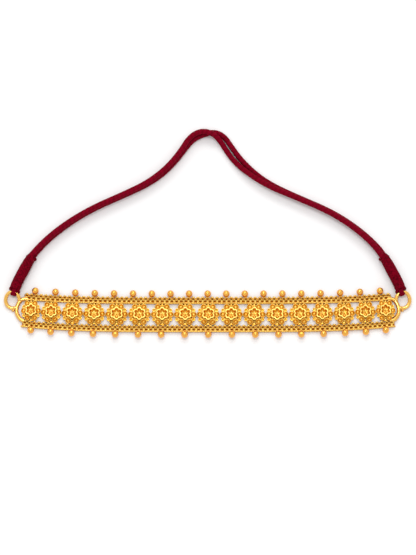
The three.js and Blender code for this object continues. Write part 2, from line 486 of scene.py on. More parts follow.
def settle(piece: bpy.types.Object, name: str) -> bpy.types.Object:
    """Puts a piece's place into its mesh, merges doubles and turns its faces outwards.

    Args:
        piece: the finished shape.
        name: its new name.

    Returns:
        The same piece.
    """
    only(piece)
    bpy.ops.object.transform_apply(location=True, rotation=True, scale=True)
    with editing(piece):
        bpy.ops.mesh.select_all(action="SELECT")
        bpy.ops.mesh.remove_doubles(threshold=MERGE_DISTANCE)
        bpy.ops.mesh.normals_make_consistent(inside=False)
    piece.name = name
    piece.data.name = name
    return piece


def moved(x: float, y: float, z: float) -> Matrix:
    """The shift by a distance in millimetres."""
    return Matrix.Translation(Vector((x, y, z)) * MM)


def turned(name: str, profile: Profile, sides: int) -> bpy.types.Object:
    """Turns a closed shape about the Z axis, rim by rim, by extruding a disc.

    Args:
        name: the piece's name.
        profile: radius and height of each rim in millimetres, from the foot up; the last
            radius may be 0.
        sides: number of sides of each rim.

    Returns:
        The turned piece.
    """
    rims = [(radius * MM, height * MM) for radius, height in profile]
    radius, height = rims[0]
    bpy.ops.object.select_all(action="DESELECT")
    bpy.ops.mesh.primitive_circle_add(
        vertices=sides, radius=radius, fill_type="NGON", location=(0, 0, height)
    )
    piece = bpy.context.object
    bpy.ops.object.transform_apply(location=True)
    with editing(piece):
        bpy.ops.mesh.select_all(action="SELECT")
        for next_radius, next_height in rims[1:]:
            raised = (0, 0, next_height - height)
            bpy.ops.mesh.extrude_region_move(TRANSFORM_OT_translate={"value": raised})
            if next_radius == 0:
                bpy.ops.mesh.merge(type="CENTER")
                break
            share = next_radius / radius
            bpy.ops.transform.resize(
                value=(share, share, 1), center_override=(0, 0, next_height)
            )
            radius, height = next_radius, next_height
    return settle(piece, name)


def spun_ring(name: str, radius: float, wire: float, steps: int, sides: int) -> bpy.types.Object:
    """Spins a round wire section into a closed ring about the Z axis.

    Args:
        name: the piece's name.
        radius: distance of the wire's middle from the axis.
        wire: radius of the wire.
        steps: number of steps round the ring.
        sides: number of sides of the wire.

    Returns:
        The ring, centred on the origin.
    """
    bpy.ops.object.select_all(action="DESELECT")
    bpy.ops.mesh.primitive_circle_add(
        vertices=sides, radius=wire, location=(radius, 0, 0), rotation=(math.pi / 2, 0, 0)
    )
    piece = bpy.context.object
    bpy.ops.object.transform_apply(location=True, rotation=True)
    with editing(piece):
        bpy.ops.mesh.select_all(action="SELECT")
        bpy.ops.mesh.spin(steps=steps, angle=FULL_TURN, center=(0, 0, 0), axis=(0, 0, 1))
    return settle(piece, name)


def copied(piece: bpy.types.Object, name: str, placement: Matrix) -> bpy.types.Object:
    """Copies a piece with a mesh of its own, placed in that mesh.

    Args:
        piece: the piece to copy.
        name: the copy's name.
        placement: where the copy goes.

    Returns:
        The copy.
    """
    only(piece)
    bpy.ops.object.duplicate()
    twin = bpy.context.object
    twin.name = name
    twin.data.name = name
    twin.data.transform(placement)
    if placement.determinant() < 0:
        twin.data.flip_normals()
    return twin


def joined(name: str, pieces: Sequence[bpy.types.Object]) -> bpy.types.Object:
    """Joins pieces into one mesh.

    Args:
        name: the joined piece's name.
        pieces: the pieces, the first of which takes in the others.

    Returns:
        The joined piece.
    """
    bpy.ops.object.select_all(action="DESELECT")
    for piece in pieces:
        piece.select_set(True)
    bpy.context.view_layer.objects.active = pieces[0]
    bpy.ops.object.join()
    pieces[0].name = name
    pieces[0].data.name = name
    return pieces[0]


def discard(*pieces: bpy.types.Object) -> None:
    """Deletes pieces that only served as patterns.

    Args:
        pieces: the objects to delete.
    """
    for piece in pieces:
        data = piece.data
        bpy.data.objects.remove(piece)
        if isinstance(data, bpy.types.Mesh):
            bpy.data.meshes.remove(data)
        else:
            bpy.data.curves.remove(data)


def drawn_wire(name: str, route: Sequence[Point], radius: float, sides: int) -> bpy.types.Object:
    """Bends a round wire along a smooth route and closes its ends.

    Args:
        name: the piece's name.
        route: the points that the wire's middle passes through, in millimetres.
        radius: the wire's radius, in millimetres.
        sides: number of sides of the wire, an even number from 4 up.

    Returns:
        The wire as a mesh.
    """
    curve = bpy.data.curves.new(name, "CURVE")
    curve.dimensions = "3D"
    curve.twist_mode = "Z_UP"
    curve.bevel_depth = radius * MM
    curve.bevel_resolution = sides // 2 - 2
    curve.use_fill_caps = True
    line = smooth_line([Vector([c * MM for c in point]) for point in route], 0.5 * MM)
    spline = curve.splines.new("POLY")
    spline.points.add(len(line) - 1)
    for point, place in zip(spline.points, line):
        point.co = (*place, 1)
    wire = bpy.data.objects.new(name, curve)
    bpy.context.collection.objects.link(wire)
    only(wire)
    bpy.ops.object.convert(target="MESH")
    return settle(bpy.context.object, name)


def smooth_line(points: Sequence[Vector], step: float) -> list[Vector]:
    """Runs a centripetal Catmull-Rom line through points and spaces it evenly.

    Args:
        points: the points that the line passes through.
        step: the distance between two points of the result.

    Returns:
        Evenly spaced points from the first point to the last.
    """
    ends = [2 * points[0] - points[1], *points, 2 * points[-1] - points[-2]]
    fine: list[Vector] = [points[0].copy()]
    for before, start, stop, after in zip(ends, ends[1:], ends[2:], ends[3:]):
        first, middle, last = (
            max((b - a).length, 1e-9) ** 0.5
            for a, b in ((before, start), (start, stop), (stop, after))
        )
        leave = ((start - before) / first - (stop - before) / (first + middle)) * middle
        leave += stop - start
        arrive = ((after - stop) / last - (after - start) / (last + middle)) * middle
        arrive += stop - start
        pieces = max(2, math.ceil((stop - start).length / (step / 2)))
        for i in range(1, pieces + 1):
            t = i / pieces
            fine.append(
                start * (2 * t**3 - 3 * t**2 + 1)
                + leave * (t**3 - 2 * t**2 + t)
                + stop * (3 * t**2 - 2 * t**3)
                + arrive * (t**3 - t**2)
            )
    return evenly_spaced(fine, step)


def length_of(line: Sequence[Vector]) -> float:
    """Length of a line through points."""
    return sum((b - a).length for a, b in zip(line, line[1:]))


def wave(turns: float) -> float:
    """A smooth wave from 0 to 1, with a crest at every whole number."""
    return 0.5 + 0.5 * math.cos(FULL_TURN * turns)


def evenly_spaced(line: Sequence[Vector], step: float) -> list[Vector]:
    """Places points at equal distances along a line.

    Args:
        line: the line's points.
        step: the wanted distance, which is rounded so that both ends stay.

    Returns:
        The new points.
    """
    lengths = [(b - a).length for a, b in zip(line, line[1:])]
    total = sum(lengths)
    count = max(2, round(total / step))
    result, i, passed = [line[0].copy()], 0, 0.0
    for k in range(1, count):
        target = total * k / count
        while passed + lengths[i] < target:
            passed += lengths[i]
            i += 1
        result.append(line[i].lerp(line[i + 1], (target - passed) / lengths[i]))
    result.append(line[-1].copy())
    return result


@dataclass(frozen=True)
class Wound:
    """One point of a swept surface: its distance from the centreline and its relief."""

    across: float
    up: float
    relief: float


def swept(
    name: str,
    line: Sequence[Vector],
    sides: int,
    section: Callable[[float, float], Wound],
    across: Vector | None = None,
    closed: bool = False,
) -> bpy.types.Object:
    """Sweeps a section that may change along a line into a closed soft surface.

    Args:
        name: the piece's name.
        line: the centreline; the end of a closed one isn't repeated.
        sides: number of sides of the section.
        section: gives the surface at a distance along the line and an angle round it.
        across: the section's own level direction, or None for level with the table.
        closed: whether the line's end meets its start.

    Returns:
        The swept piece, with its relief attribute and UV map.
    """
    stations = len(line)
    following = [*line[1:], line[0]] if closed else line[1:]
    distances = [0.0]
    for here, there in zip(line, following):
        distances.append(distances[-1] + (there - here).length)
    vertices: list[Vector] = []
    relief: list[float] = []
    for i, place in enumerate(line):
        before = line[i - 1] if closed or i else place
        after = line[(i + 1) % stations] if closed or i + 1 < stations else place
        tangent = (after - before).normalized()
        if across is None:
            level = tangent.cross(Vector((0, 0, 1))).normalized()
        else:
            level = (across - tangent * across.dot(tangent)).normalized()
        rise = level.cross(tangent)
        for k in range(sides):
            spot = section(distances[i], FULL_TURN * k / sides)
            vertices.append(place + level * spot.across + rise * spot.up)
            relief.append(spot.relief)
    faces: list[tuple[int, ...]] = []
    corners: list[tuple[float, float]] = []
    for i in range(stations if closed else stations - 1):
        near, far = i * sides, (i + 1) % stations * sides
        low, high = distances[i], distances[i + 1]
        for k in range(sides):
            turn = (k + 1) % sides
            faces.append((near + k, near + turn, far + turn, far + k))
            left, right = k / sides, (k + 1) / sides
            corners += [(left, low), (right, low), (right, high), (left, high)]
    if not closed:
        for station in (0, stations - 1):
            faces.append(tuple(station * sides + k for k in range(sides)))
            corners += [(k / sides, distances[station]) for k in range(sides)]
    mesh = bpy.data.meshes.new(name)
    mesh.from_pydata(vertices, [], faces)
    layer = mesh.uv_layers.new(name=SURFACE_MAP)
    for loop, place_on_map in zip(layer.data, corners):
        loop.uv = place_on_map
    mesh.attributes.new(SHADE_RELIEF, "FLOAT", "POINT").data.foreach_set("value", relief)
    piece = bpy.data.objects.new(name, mesh)
    bpy.context.collection.objects.link(piece)
    with editing(piece):
        bpy.ops.mesh.select_all(action="SELECT")
        bpy.ops.mesh.normals_make_consistent(inside=False)
    return piece


def shade_from_relief(
    piece: bpy.types.Object,
    low: float,
    high: float,
    flat: float = 0.55,
    reach: float = 0.45 * MM,
    rounds: int = 3,
) -> None:
    """Writes how far each point stands out and how high it lies, which sets how much painted
    shade it gets: hollows and low parts are painted darker.

    Args:
        piece: the mesh, which gets its relief attribute.
        low: height up to which a point gets the full painted shade.
        high: height from which its height adds no painted shade.
        flat: relief of a flat face; a crest has more and a hollow less.
        reach: size of the shapes that count.
        rounds: how often the result is evened out between neighbours.
    """
    shape = bmesh.new()
    shape.from_mesh(piece.data)
    shape.normal_update()
    raised = []
    for point in shape.verts:
        bend = 0.0
        for edge in point.link_edges:
            way = edge.other_vert(point).co - point.co
            bend -= point.normal.dot(way) / max(way.length_squared, MERGE_DISTANCE**2)
        bend *= reach / max(1, len(point.link_edges))
        unshaded_share = min(1.0, max(0.0, (point.co.z - low) / (high - low)))
        raised.append(unshaded_share * min(1.0, max(0.0, flat + bend)))
    near = [[edge.other_vert(point).index for edge in point.link_edges] for point in shape.verts]
    for _ in range(rounds):
        raised = [
            0.5 * own + 0.5 * sum(raised[k] for k in around) / max(1, len(around))
            for own, around in zip(raised, near)
        ]
    shape.free()
    piece.data.attributes.new(SHADE_RELIEF, "FLOAT", "POINT").data.foreach_set("value", raised)


class Dresser:
    """Gives finished pieces their material, smoothing and body, and hides the CAD nodes they
    stand for.
    """

    def __init__(self) -> None:
        """Starts with no material made."""
        self._made: dict[str, bpy.types.Material] = {}

    def dress(
        self,
        piece: bpy.types.Object,
        finish: GoldFinish | SilkFinish,
        *nodes: str,
    ) -> bpy.types.Object:
        """Dresses one piece.

        Args:
            piece: the finished mesh.
            finish: its finish.
            nodes: CAD nodes that it replaces.

        Returns:
            The same piece.
        """
        if finish.name not in self._made:
            self._made[finish.name] = finish.material()
        piece.data.materials.clear()
        piece.data.materials.append(self._made[finish.name])
        # Pieces without a relief of their own get one from their shape and height, for their
        # painted shade.
        if SHADE_RELIEF not in piece.data.attributes:
            shade_from_relief(piece, *(height * MM for height in finish.shade_heights_mm))
        only(piece)
        bpy.ops.object.shade_smooth_by_angle(angle=math.radians(finish.crisp_degrees))
        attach(piece, "root")
        if nodes:
            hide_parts(*nodes)
        LOG.info("%s: %d faces, %s", piece.name, len(piece.data.polygons), finish.name)
        return piece


# ---- studio ----


@dataclass(frozen=True)
class SoftBox:
    """A rectangular soft light that faces the necklace."""

    name: str
    place: Point
    size: tuple[float, float]
    watts: float


@dataclass
class Studio:
    """White table, soft white light from behind and above, and a long-lens camera."""

    aim: Point = (0.0002, 0.0225, 0.0)
    elevation_degrees: float = 75.0
    distance: float = 2.3
    framed_height: float = 0.333  # height of the picture at the aim
    sensor: float = 36.0  # millimetres, along the picture's height
    clip: tuple[float, float] = (0.1, 50.0)
    table_size: float = 6.0
    table_colour: str = "#FAFAFA"
    table_roughness: float = 0.9
    table_gloss: float = 0.1
    fibre: float = 0.8 * MM  # spacing of the paper's fibres
    fibre_height: float = 0.01 * MM
    fibre_strength: float = 0.2
    room_colour: str = "#FFFFFF"
    room_strength: float = 0.88
    lit_point: Point = (0.0, 0.03, 0.0)
    softboxes: Sequence[SoftBox] = (
        SoftBox("back_softbox", (0, 1.5, 1.5), (1.6, 0.7), 9),
        SoftBox("overhead_softbox", (-0.1, 0.25, 1.6), (0.3, 0.2), 4),
    )

    def place_camera(self) -> None:
        """Adds the camera and makes it the scene's."""
        data = bpy.data.cameras.new("camera")
        data.sensor_width = self.sensor
        data.lens = self.sensor * self.distance / self.framed_height
        data.clip_start, data.clip_end = self.clip
        camera = bpy.data.objects.new("camera", data)
        bpy.context.collection.objects.link(camera)
        tilt = math.radians(90 - self.elevation_degrees)
        back = Vector((0, -math.sin(tilt), math.cos(tilt)))
        camera.location = Vector(self.aim) + back * self.distance
        camera.rotation_euler = (tilt, 0, 0)
        bpy.context.scene.camera = camera

    def lay_table(self) -> None:
        """Adds the table top, with a faint paper grain."""
        bpy.ops.object.select_all(action="DESELECT")
        bpy.ops.mesh.primitive_plane_add(size=self.table_size)
        table = bpy.context.object
        table.name = "table_top"
        material, tree = blank_material("matt_white_paper")
        place = add_node(tree, "ShaderNodeTexCoord").outputs["Object"]
        fibres = add_node(tree, "ShaderNodeTexNoise", Vector=place, Scale=1 / self.fibre)
        grain = add_node(
            tree,
            "ShaderNodeBump",
            Height=fibres.outputs["Fac"],
            Strength=self.fibre_strength,
            Distance=self.fibre_height,
        )
        paper = add_node(
            tree,
            "ShaderNodeBsdfPrincipled",
            Base_Color=linear(self.table_colour),
            Roughness=self.table_roughness,
            Specular_IOR_Level=self.table_gloss,
            Normal=grain.outputs["Normal"],
        )
        add_node(tree, "ShaderNodeOutputMaterial", Surface=paper.outputs[0])
        table.data.materials.append(material)

    def hang_light(self, box: SoftBox) -> None:
        """Adds one soft light.

        Args:
            box: its name, place, size and power.
        """
        data = bpy.data.lights.new(box.name, "AREA")
        data.shape = "RECTANGLE"
        data.size, data.size_y = box.size
        data.energy = box.watts
        light = bpy.data.objects.new(box.name, data)
        bpy.context.collection.objects.link(light)
        light.location = box.place
        facing = Vector(self.lit_point) - Vector(box.place)
        light.rotation_euler = facing.to_track_quat("-Z", "Y").to_euler()

    def light_room(self) -> None:
        """Adds the white room and its soft lights."""
        world = bpy.data.worlds.new("white_room")
        bpy.context.scene.world = world
        world.use_nodes = True
        world.node_tree.nodes.clear()
        shell = add_node(
            world.node_tree,
            "ShaderNodeBackground",
            Color=linear(self.room_colour),
            Strength=self.room_strength,
        )
        add_node(world.node_tree, "ShaderNodeOutputWorld", Surface=shell.outputs[0])
        for box in self.softboxes:
            self.hang_light(box)
        view = bpy.context.scene.view_settings
        view.view_transform = "Standard"
        view.look = "None"

    def build(self) -> None:
        """Lays the table and lights the room."""
        self.lay_table()
        self.light_room()


# ---- silk cord ----


@dataclass
class CordPair:
    """Two braided silk strands that leave the left binding and end in the right one.

    The route's rows hold X and Y midway between the strands, the angle by which strand A
    stands round strand B (0 beside it on the outer side, 90 on top, 180 inside, -90 under
    it) and the distance between their middles. All but the angle are in millimetres.
    """

    diameter: float = 3.4 * MM
    lowest: float = 1.73 * MM  # height of the lower strand's middle
    rib_pitch: float = 0.9 * MM
    rib_depth: float = 0.12 * MM
    rib_starts: int = 3  # ribs that climb round the strand side by side
    plait_pitch: float = 2.7 * MM  # the bundles of ribs cross over each other
    plait_depth: float = 0.05 * MM
    rib_share: float = 0.6  # of the surface's relief; the plait gives the rest
    tucked: float = 4.0 * MM  # how far each strand runs on inside the bindings
    bundle_z: float = 3.58 * MM  # height of the bindings' middle
    sides: int = 18
    step: float = 0.17 * MM
    route: Sequence[tuple[float, float, float, float]] = (
        (-104.9, 35.55, 80, 3.7),
        (-102.5, 38.4, 81, 3.7),
        (-99.1, 42.2, 83, 3.7),
        (-94.5, 46.7, 85, 3.7),
        (-88.4, 51.8, 86, 3.7),
        (-81.3, 57.0, 89, 3.7),
        (-73.5, 61.9, 91, 3.7),
        (-64.5, 66.7, 92, 3.7),
        (-55.5, 70.9, 92, 3.7),
        (-46.5, 75.1, 91, 3.7),
        (-38.0, 79.5, 88, 3.7),
        (-30.9, 84.2, 83, 3.75),
        (-24.7, 89.6, 81, 3.75),
        (-19.4, 95.5, 79, 3.75),
        (-15.1, 101.3, 76, 3.75),
        (-11.5, 106.45, 68, 3.8),
        (-7.9, 109.85, 62, 3.8),
        (-4.3, 111.6, 67, 3.8),
        (-0.9, 112.15, 85, 3.8),
        (1.8, 112.15, 108, 3.8),
        (4.1, 111.7, 127, 3.8),
        (6.5, 110.5, 147, 3.8),
        (9.2, 108.1, 166, 3.8),
        (12.4, 103.4, 180, 3.85),
        (16.2, 97.8, 178, 3.85),
        (21.0, 92.15, 164, 3.75),
        (26.8, 86.8, 144, 3.75),
        (33.2, 82.0, 132, 3.7),
        (40.4, 77.8, 124, 3.7),
        (49.3, 73.6, 116, 3.7),
        (58.4, 69.5, 114, 3.7),
        (67.5, 65.4, 114, 3.7),
        (76.5, 60.7, 114, 3.7),
        (84.8, 55.3, 115, 3.7),
        (92.1, 49.6, 116, 3.7),
        (98.2, 43.9, 118, 3.7),
        (102.6, 38.9, 120, 3.7),
        (104.9, 35.55, 121, 3.7),
    )

    def strand_line(self, side: int) -> list[Vector]:
        """Works out the centreline of one strand.

        Args:
            side: 1 for strand A, -1 for strand B.

        Returns:
            Evenly spaced points along the strand's middle.
        """
        middle = [Vector((x, y, 0)) * MM for x, y, _, _ in self.route]
        points = []
        for i, (_, _, roll, apart) in enumerate(self.route):
            following = middle[min(i + 1, len(middle) - 1)]
            tangent = (following - middle[max(i - 1, 0)]).normalized()
            angle = math.radians(roll)
            out = side * apart * MM * math.cos(angle) / 2
            up = side * apart * MM * math.sin(angle) / 2
            height = self.lowest + apart * MM * abs(math.sin(angle)) / 2 + up
            points.append(middle[i] + Vector((-out * tangent.y, out * tangent.x, height)))
        first = self.tucked_end(points[0], points[1])
        last = self.tucked_end(points[-1], points[-2])
        return smooth_line([first, *points, last], self.step)

    def tucked_end(self, tip: Vector, before: Vector) -> Vector:
        """Works out where a strand ends inside a binding.

        Args:
            tip: where it goes in.
            before: the point of its route next to that.

        Returns:
            Its end.
        """
        away = tip - before
        away.z = 0
        inside = tip + away.normalized() * self.tucked
        inside.z = 0.5 * (tip.z + self.bundle_z)
        return inside

    def braid(self, distance: float, angle: float) -> Wound:
        """Works out the ribbed surface of a strand.

        Args:
            distance: how far along the strand.
            angle: how far round it.

        Returns:
            The surface there.
        """
        rib = wave(distance / self.rib_pitch + self.rib_starts * angle / FULL_TURN)
        plait = wave(distance / self.plait_pitch - angle / FULL_TURN)
        radius = self.diameter / 2
        radius -= self.rib_depth * (1 - rib) ** 2 + self.plait_depth * (1 - plait)
        crest = self.rib_share * rib + (1 - self.rib_share) * plait
        return Wound(radius * math.cos(angle), radius * math.sin(angle), crest)

    def build(self, dresser: Dresser) -> dict[str, tuple[bpy.types.Object, list[Vector]]]:
        """Builds both strands.

        Args:
            dresser: gives them their finish.

        Returns:
            Each strand's object and centreline, by name.
        """
        made = {}
        for letter, side in (("a", 1), ("b", -1)):
            line = self.strand_line(side)
            strand = swept(f"silk_strand_{letter}", line, self.sides, self.braid)
            dresser.dress(strand, BRAIDED_SILK, f"cord_strand_{letter}")
            made[letter] = (strand, line)
        return made


@dataclass(frozen=True)
class ThickTurn:
    """One thick turn of cord round a binding. Lengths are in millimetres."""

    name: str
    share: float  # where it lies along the binding
    thread: float  # its own radius
    slant: float  # how far its outer side leads its inner side
    lobe: float = 0.0  # how far its two sides hang past its top
    knot: float = 0.0  # how much thicker it is on its inner side, as a share


@dataclass
class Binding:
    """Thread bound round both strands, and the bight of cord that holds the ring.

    The route and the other sizes are in millimetres, on the right-hand end.
    """

    route: Sequence[tuple[float, float]] = (
        (115.4, 14.2),
        (114.7, 16.5),
        (112.95, 20.6),
        (110.3, 25.8),
        (107.65, 30.95),
        (105.2, 35.05),
    )
    centre_z: float = 3.58
    half_height: float = 3.5
    least_height: float = 0.7  # share of the half height that no narrowing takes away
    half_widths: Sequence[tuple[float, float]] = (
        (0.0, 2.95),
        (0.06, 3.35),
        (0.6, 3.4),
        (0.76, 3.25),
        (0.88, 3.05),
        (0.96, 2.85),
        (1.0, 2.6),
    )
    thread_pitch: float = 0.6
    thread_depth: float = 0.22
    stitch_pitch: float = 1.5  # the thread is caught down by rows of stitches
    stitches: int = 9
    stitch_share: float = 0.55  # of the surface's relief; the coils give the rest
    thread_sides: int = 32
    turns: Sequence[ThickTurn] = (
        ThickTurn("foot_turn", 0.05, 0.9, slant=0.3, lobe=1.9),
        ThickTurn("head_turn", 0.94, 0.62, slant=-0.5, knot=0.75),
    )
    turn_stands_out: float = 0.3  # how far a thick turn stands out past the thread's sides
    turn_steps: int = 80
    turn_sides: int = 12
    bight_orbit: float = 1.95
    bight_ahead: float = 1.6
    bight_tucked: float = 1.5  # how far its two legs run on inside the thread
    bight_z: float = 3.0
    bight_half_width: float = 1.6
    bight_half_thickness: float = 0.55
    bight_squareness: float = 0.75
    bight_sides: int = 20
    rib_pitch: float = 0.85
    rib_depth: float = 0.07

    def axis(self, end: End, step: float) -> list[Vector]:
        """The binding's own centreline, from the ring up to the cord."""
        points = [Vector((end.value * x, y, self.centre_z)) * MM for x, y in self.route]
        return smooth_line(points, step)

    def width_at(self, share: float) -> float:
        """Works out how wide the bound bundle is.

        Args:
            share: a place along the binding, from 0 at the ring to 1.

        Returns:
            The half width there, in millimetres.
        """
        for (low, narrow), (high, wide) in zip(self.half_widths, self.half_widths[1:]):
            if share <= high:
                t = max(0.0, (share - low) / (high - low))
                return narrow + (wide - narrow) * t * t * (3 - 2 * t)
        return self.half_widths[-1][1]

    def height_at(self, share: float) -> float:
        """Half height of the bound bundle, which narrows less than its width does."""
        fullness = self.width_at(share) / max(width for _, width in self.half_widths)
        return self.half_height * (self.least_height + (1 - self.least_height) * fullness)

    def sleeve(self, end: End) -> bpy.types.Object:
        """Winds the tight coils of thread as one surface with a crest for each turn.

        Args:
            end: which end of the band.

        Returns:
            The sleeve of coils.
        """
        line = self.axis(end, self.thread_pitch * MM / 6)
        length = length_of(line)

        def coils(distance: float, angle: float) -> Wound:
            """Works out the surface of the sleeve.

            Args:
                distance: how far along the sleeve.
                angle: how far round it.

            Returns:
                The surface there.
            """
            phase = distance / (self.thread_pitch * MM) + end.value * angle / FULL_TURN
            along = math.cos(FULL_TURN * distance / (self.stitch_pitch * MM) + angle)
            stitch = 0.5 + 0.5 * along * math.cos(self.stitches * angle)
            crest = (1 - self.stitch_share) * wave(phase) + self.stitch_share * stitch
            inset = self.thread_depth * (1 - crest)
            width = self.width_at(distance / length) - inset
            height = self.height_at(distance / length) - inset
            return Wound(width * MM * math.cos(angle), height * MM * math.sin(angle), crest)

        return swept(f"{end.label}_thread_coils", line, self.thread_sides, coils)

    def thick_turn(self, end: End, turn: ThickTurn) -> bpy.types.Object:
        """Lays one thick turn of cord round the bundle.

        Args:
            end: which end of the band.
            turn: the turn's place and sizes.

        Returns:
            The turn as a closed ring.
        """
        line = self.axis(end, 0.25 * MM)
        i = min(len(line) - 2, round(turn.share * (len(line) - 1)))
        tangent = (line[i + 1] - line[i]).normalized()
        side = tangent.cross(Vector((0, 0, 1))).normalized() * end.value
        width = self.width_at(turn.share) + self.turn_stands_out - turn.thread
        height = self.height_at(turn.share) - turn.thread
        loop = []
        for k in range(self.turn_steps):
            angle = FULL_TURN * k / self.turn_steps
            level = Vector((0, 0, height * math.sin(angle) * MM))
            lead = turn.slant * math.cos(angle) - turn.lobe * math.cos(angle) ** 2
            loop.append(
                line[i] + side * (width * math.cos(angle)) * MM + level + tangent * lead * MM
            )
        girth = length_of([*loop, loop[0]])
        pitch = girth / round(girth / (self.rib_pitch * MM))

        def ribs(distance: float, angle: float) -> Wound:
            """Works out the surface of the turn.

            Args:
                distance: how far along the turn.
                angle: how far round its own thread.

            Returns:
                The surface there.
            """
            crest = wave(distance / pitch + angle / FULL_TURN)
            inner = max(0.0, -math.cos(FULL_TURN * distance / girth)) ** 6
            radius = (turn.thread * (1 + turn.knot * inner) - self.rib_depth * (1 - crest)) * MM
            return Wound(radius * math.cos(angle), radius * math.sin(angle), crest)

        name = f"{end.label}_{turn.name}"
        return swept(name, loop, self.turn_sides, ribs, across=tangent, closed=True)

    def bight(self, end: End) -> bpy.types.Object:
        """Bends the flattened bight of cord that comes out of the binding round the ring.

        Args:
            end: which end of the band.

        Returns:
            The bight.
        """
        start, following = (Vector((end.value * x, y, 0)) * MM for x, y in self.route[:2])
        ahead = (start - following).normalized()

        def place(forward: float, height: float) -> Vector:
            """A point ahead of the binding's foot, in millimetres."""
            return start + ahead * forward * MM + Vector((0, 0, height * MM))

        route = [place(-self.bight_tucked, self.bight_z + self.bight_orbit)]
        for degrees in range(-90, 91, 15):
            angle = math.radians(degrees)
            forward = self.bight_ahead + self.bight_orbit * math.cos(angle)
            route.append(place(forward, self.bight_z - self.bight_orbit * math.sin(angle)))
        route.append(place(-self.bight_tucked, self.bight_z - self.bight_orbit))

        def squared(value: float) -> float:
            """Pushes the sections' round outline out into the corners."""
            return math.copysign(abs(value) ** self.bight_squareness, value)

        def ribs(distance: float, angle: float) -> Wound:
            """Works out the surface of the bight.

            Args:
                distance: how far along the bight.
                angle: how far round it.

            Returns:
                The surface there.
            """
            crest = wave(distance / (self.rib_pitch * MM) + 2 * angle / FULL_TURN)
            inset = self.rib_depth * (1 - crest)
            width = (self.bight_half_width - inset) * MM
            thickness = (self.bight_half_thickness - inset / 2) * MM
            return Wound(
                width * squared(math.cos(angle)), thickness * squared(math.sin(angle)), crest
            )

        side = ahead.cross(Vector((0, 0, 1)))
        line = smooth_line(route, 0.17 * MM)
        return swept(f"{end.label}_ring_bight", line, self.bight_sides, ribs, across=side)

    def build(self, dresser: Dresser, end: End) -> list[bpy.types.Object]:
        """Builds one end's binding.

        Args:
            dresser: gives the pieces their finish.
            end: which end of the band.

        Returns:
            The pieces, which all lie on the cord.
        """
        pieces = [dresser.dress(self.sleeve(end), WOUND_THREAD, f"{end.label}_thread_wrap")]
        for turn in self.turns:
            pieces.append(dresser.dress(self.thick_turn(end, turn), WOUND_THREAD))
        pieces.append(dresser.dress(self.bight(end), BRAIDED_SILK, f"{end.label}_cord_bight"))
        return pieces


# ---- gold band ----


@dataclass
class Band:
    """The line midway between the rails, and how the band narrows towards its ends."""

    middle_y: float = -0.9 * MM
    rise: float = 2.4 * MM  # how far the ends bend towards the cord
    span: float = 106.2 * MM
    power: int = 4
    taper: float = 0.03

    def middle(self, x: float) -> float:
        """Y of the middle line."""
        return self.middle_y + self.rise * (abs(x) / self.span) ** self.power

    def fullness(self, x: float) -> float:
        """How wide the band still is, as a share of its width in the middle."""
        return 1 - self.taper * (abs(x) / self.span) ** self.power

    def across(self, x: float, distance: float) -> float:
        """Y at a distance from the middle line."""
        return self.middle(x) + distance * self.fullness(x)


